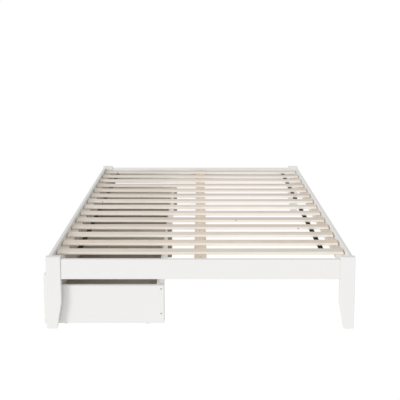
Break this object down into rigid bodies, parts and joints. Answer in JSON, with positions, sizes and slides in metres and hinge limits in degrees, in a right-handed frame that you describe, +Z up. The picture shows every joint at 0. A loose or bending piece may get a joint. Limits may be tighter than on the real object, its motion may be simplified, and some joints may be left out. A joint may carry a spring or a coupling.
{
  "type": "platform bed with storage drawers",
  "caption": "Low white wooden platform bed with a natural slatted deck and rolling storage drawers under one side.",
  "frame": {"origin": "on the floor at the centre of the whole bed's box with its drawers shut, so the bed's own middle line lies 9 mm towards +X", "axes": "+Z up; +Y along the bed from the foot end to the head end; +X towards the side with no drawers; the drawers pull out along -X"},
  "size_m": [1.468, 2.01, 0.351],
  "materials": {
    "white_paint": "white satin paint on wood",
    "pine": "planed, bare softwood",
    "beam_wood": "planed, bare softwood, warmer tone",
    "hardboard": "smooth pressed fibreboard, greyish brown",
    "beech": "fluted dowel, bare",
    "webbing": "black woven webbing",
    "zinc_steel": "bright zinc plate",
    "wheel_nylon": "moulded nylon",
    "glide_plastic": "moulded polyethylene"
  },
  "bodies": {
    "frame": {"foot_leg_left": "white_paint", "foot_leg_right": "white_paint", "head_leg_left": "white_paint", "head_leg_right": "white_paint", "foot_rail": "white_paint", "head_rail": "white_paint", "side_rail_left": "white_paint", "side_rail_right": "white_paint", "slat_ledger_left": "pine", "slat_ledger_right": "pine", "centre_beam": "beam_wood", "centre_leg_foot": "pine", "centre_leg_head": "pine", "slat_01": "pine", "slat_02": "pine", "slat_03": "pine", "slat_04": "pine", "slat_05": "pine", "slat_06": "pine", "slat_07": "pine", "slat_08": "pine", "slat_09": "pine", "slat_10": "pine", "slat_11": "pine", "slat_12": "pine", "slat_13": "pine", "slat_14": "pine", "slat_straps_left": "webbing", "slat_straps_right": "webbing", "strap_staples": "zinc_steel", "corner_brackets": "zinc_steel", "frame_bolts": "zinc_steel", "ledger_screws": "zinc_steel", "beam_hangers": "zinc_steel", "leg_glides": "glide_plastic", "frame_dowels": "beech"},
    "foot_drawer": {"foot_drawer_front": "white_paint", "foot_drawer_foot_side": "white_paint", "foot_drawer_head_side": "white_paint", "foot_drawer_back": "white_paint", "foot_drawer_bottom": "hardboard", "foot_drawer_battens": "pine", "foot_drawer_casters": "zinc_steel", "foot_drawer_screws": "zinc_steel"},
    "foot_drawer_wheel_front_foot": {"foot_drawer_wheel_front_foot": "wheel_nylon"},
    "foot_drawer_wheel_front_head": {"foot_drawer_wheel_front_head": "wheel_nylon"},
    "foot_drawer_wheel_back_foot": {"foot_drawer_wheel_back_foot": "wheel_nylon"},
    "foot_drawer_wheel_back_head": {"foot_drawer_wheel_back_head": "wheel_nylon"},
    "head_drawer": {"head_drawer_front": "white_paint", "head_drawer_foot_side": "white_paint", "head_drawer_head_side": "white_paint", "head_drawer_back": "white_paint", "head_drawer_bottom": "hardboard", "head_drawer_battens": "pine", "head_drawer_casters": "zinc_steel", "head_drawer_screws": "zinc_steel"},
    "head_drawer_wheel_front_foot": {"head_drawer_wheel_front_foot": "wheel_nylon"},
    "head_drawer_wheel_front_head": {"head_drawer_wheel_front_head": "wheel_nylon"},
    "head_drawer_wheel_back_foot": {"head_drawer_wheel_back_foot": "wheel_nylon"},
    "head_drawer_wheel_back_head": {"head_drawer_wheel_back_head": "wheel_nylon"}
  },
  "joints": [
    {"name": "foot_drawer_slide", "type": "slide", "parent": "frame", "child": "foot_drawer", "axis": [-1, 0, 0], "range_m": [0, 0.54]},
    {"name": "head_drawer_slide", "type": "slide", "parent": "frame", "child": "head_drawer", "axis": [-1, 0, 0], "range_m": [0, 0.54]},
    {"name": "foot_drawer_wheel_front_foot_spin", "type": "hinge", "parent": "foot_drawer", "child": "foot_drawer_wheel_front_foot", "pos_m": [-0.636, -0.939, 0.016], "axis": [0, -1, 0], "continuous": true},
    {"name": "foot_drawer_wheel_front_head_spin", "type": "hinge", "parent": "foot_drawer", "child": "foot_drawer_wheel_front_head", "pos_m": [-0.636, -0.0365, 0.016], "axis": [0, -1, 0], "continuous": true},
    {"name": "foot_drawer_wheel_back_foot_spin", "type": "hinge", "parent": "foot_drawer", "child": "foot_drawer_wheel_back_foot", "pos_m": [-0.244, -0.939, 0.016], "axis": [0, -1, 0], "continuous": true},
    {"name": "foot_drawer_wheel_back_head_spin", "type": "hinge", "parent": "foot_drawer", "child": "foot_drawer_wheel_back_head", "pos_m": [-0.244, -0.0365, 0.016], "axis": [0, -1, 0], "continuous": true},
    {"name": "head_drawer_wheel_front_foot_spin", "type": "hinge", "parent": "head_drawer", "child": "head_drawer_wheel_front_foot", "pos_m": [-0.636, 0.0365, 0.016], "axis": [0, -1, 0], "continuous": true},
    {"name": "head_drawer_wheel_front_head_spin", "type": "hinge", "parent": "head_drawer", "child": "head_drawer_wheel_front_head", "pos_m": [-0.636, 0.939, 0.016], "axis": [0, -1, 0], "continuous": true},
    {"name": "head_drawer_wheel_back_foot_spin", "type": "hinge", "parent": "head_drawer", "child": "head_drawer_wheel_back_foot", "pos_m": [-0.244, 0.0365, 0.016], "axis": [0, -1, 0], "continuous": true},
    {"name": "head_drawer_wheel_back_head_spin", "type": "hinge", "parent": "head_drawer", "child": "head_drawer_wheel_back_head", "pos_m": [-0.244, 0.939, 0.016], "axis": [0, -1, 0], "continuous": true}
  ],
  "couplings": [
    {"joint": "foot_drawer_wheel_front_foot_spin", "follows": "foot_drawer_slide", "rad_per_m": 62.5},
    {"joint": "foot_drawer_wheel_front_head_spin", "follows": "foot_drawer_slide", "rad_per_m": 62.5},
    {"joint": "foot_drawer_wheel_back_foot_spin", "follows": "foot_drawer_slide", "rad_per_m": 62.5},
    {"joint": "foot_drawer_wheel_back_head_spin", "follows": "foot_drawer_slide", "rad_per_m": 62.5},
    {"joint": "head_drawer_wheel_front_foot_spin", "follows": "head_drawer_slide", "rad_per_m": 62.5},
    {"joint": "head_drawer_wheel_front_head_spin", "follows": "head_drawer_slide", "rad_per_m": 62.5},
    {"joint": "head_drawer_wheel_back_foot_spin", "follows": "head_drawer_slide", "rad_per_m": 62.5},
    {"joint": "head_drawer_wheel_back_head_spin", "follows": "head_drawer_slide", "rad_per_m": 62.5}
  ]
}
